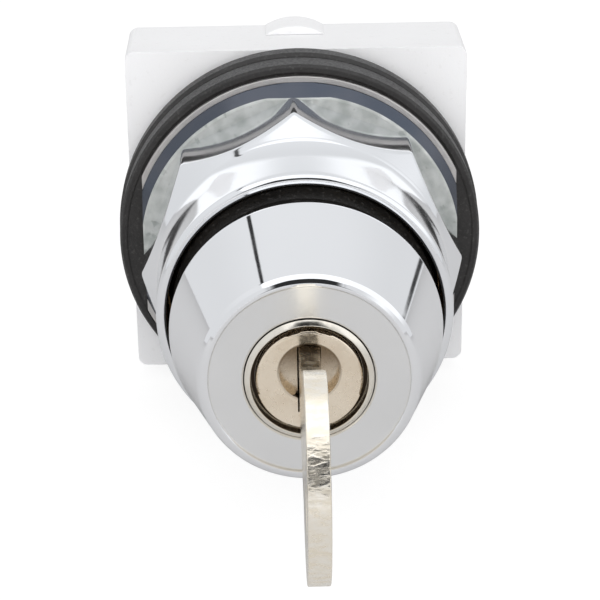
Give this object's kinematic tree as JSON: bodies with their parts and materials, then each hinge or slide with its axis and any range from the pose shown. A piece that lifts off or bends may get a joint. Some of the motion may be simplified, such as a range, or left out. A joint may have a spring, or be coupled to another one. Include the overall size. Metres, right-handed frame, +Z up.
{
  "type": "selector key switch",
  "caption": "Key-operated rotary selector switch for a round panel hole, with a conical chrome head, ring nut, rubber gaskets and contact blocks behind.",
  "frame": {"origin": "on the key axis, in the plane of the panel's front face (the rear gasket's back)", "axes": "-Y is out of the front of the panel along the key, +Y is behind the panel, +Z is up, +X is to the right seen from the front"},
  "size_m": [0.044, 0.1258, 0.044],
  "materials": {
    "cast_zinc": "dull die-cast metal",
    "gasket_rubber": "matte moulded rubber",
    "bright_steel": "bright spring steel",
    "zinc_plate": "zinc plated, slightly mottled",
    "chrome_plate": "polished chrome plate with a satin front face on the head",
    "lock_nickel": "warm nickel plate over brass",
    "lock_brass": "plain brass",
    "key_brass": "nickel silver with worn bright edges",
    "bush_plastic": "natural acetal",
    "cam_plastic": "orange acetal",
    "pale_plastic": "pale moulded plastic",
    "grey_plastic": "grey moulded plastic",
    "red_plastic": "red moulded plastic",
    "contact_brass": "brass with silver contact tips"
  },
  "bodies": {
    "operator": {"barrel": "cast_zinc", "dust_seal": "gasket_rubber", "lock_bezel": "chrome_plate", "lock_shell": "lock_nickel", "shell_nut": "lock_brass", "shaft_bush": "bush_plastic", "shaft_seal": "gasket_rubber", "detent_leaf": "bright_steel", "detent_pins": "bright_steel", "mounting_base": "pale_plastic", "base_plate": "grey_plastic", "base_screws": "zinc_plate", "locating_lug": "pale_plastic", "left_housing": "pale_plastic", "right_housing": "pale_plastic", "left_cover": "grey_plastic", "right_cover": "grey_plastic", "left_spring": "bright_steel", "right_spring": "bright_steel", "left_terminals": "contact_brass", "right_terminals": "contact_brass", "left_clamps": "zinc_plate", "right_clamps": "zinc_plate", "terminal_screws": "zinc_plate", "block_screws": "zinc_plate"},
    "clamp_stack": {"rear_gasket": "gasket_rubber", "front_gasket": "gasket_rubber", "thrust_washer": "bright_steel", "trim_washer": "zinc_plate"},
    "ring_nut": {"ring_nut": "chrome_plate"},
    "rotor": {"lock_plug": "lock_nickel", "drive_shaft": "bright_steel", "selector_cam": "cam_plastic", "shaft_clip": "bright_steel", "wafer_springs": "bright_steel"},
    "key": {"key": "key_brass"},
    "wafers": {"wafers": "lock_brass"},
    "left_plunger": {"left_plunger": "red_plastic", "left_bridge": "contact_brass", "left_bridge_spring": "bright_steel"},
    "right_plunger": {"right_plunger": "red_plastic", "right_bridge": "contact_brass", "right_bridge_spring": "bright_steel"}
  },
  "joints": [
    {"name": "clamp_travel", "type": "slide", "parent": "operator", "child": "clamp_stack", "axis": [0, -1, 0], "range_m": [0, 0.01]},
    {"name": "nut_turn", "type": "hinge", "parent": "clamp_stack", "child": "ring_nut", "pos_m": [0, 0, 0], "axis": [0, -1, 0], "range_deg": [0, 2401]},
    {"name": "key_turn", "type": "hinge", "parent": "operator", "child": "rotor", "pos_m": [0, 0, 0], "axis": [0, 1, 0], "range_deg": [-45, 45], "deforming": ["detent_leaf"]},
    {"name": "key_pull", "type": "slide", "parent": "rotor", "child": "key", "axis": [0, -1, 0], "range_m": [0, 0.03]},
    {"name": "wafer_drop", "type": "slide", "parent": "rotor", "child": "wafers", "axis": [0, 0, -1], "range_m": [0, 0.0009], "deforming": ["wafer_springs"]},
    {"name": "left_plunger_travel", "type": "slide", "parent": "operator", "child": "left_plunger", "axis": [0, 1, 0], "range_m": [-0.00151, 0.00151], "deforming": ["left_spring"]},
    {"name": "right_plunger_travel", "type": "slide", "parent": "operator", "child": "right_plunger", "axis": [0, 1, 0], "range_m": [-0.00151, 0.00151], "deforming": ["right_spring"]}
  ],
  "couplings": [
    {"joint": "nut_turn", "follows": "clamp_travel", "rad_per_m": 4188.8},
    {"joint": "wafer_drop", "follows": "key_pull", "ratio": 0.03},
    {"joint": "left_plunger_travel", "follows": "key_turn", "m_per_rad": -0.0019099},
    {"joint": "right_plunger_travel", "follows": "key_turn", "m_per_rad": 0.0019099}
  ]
}
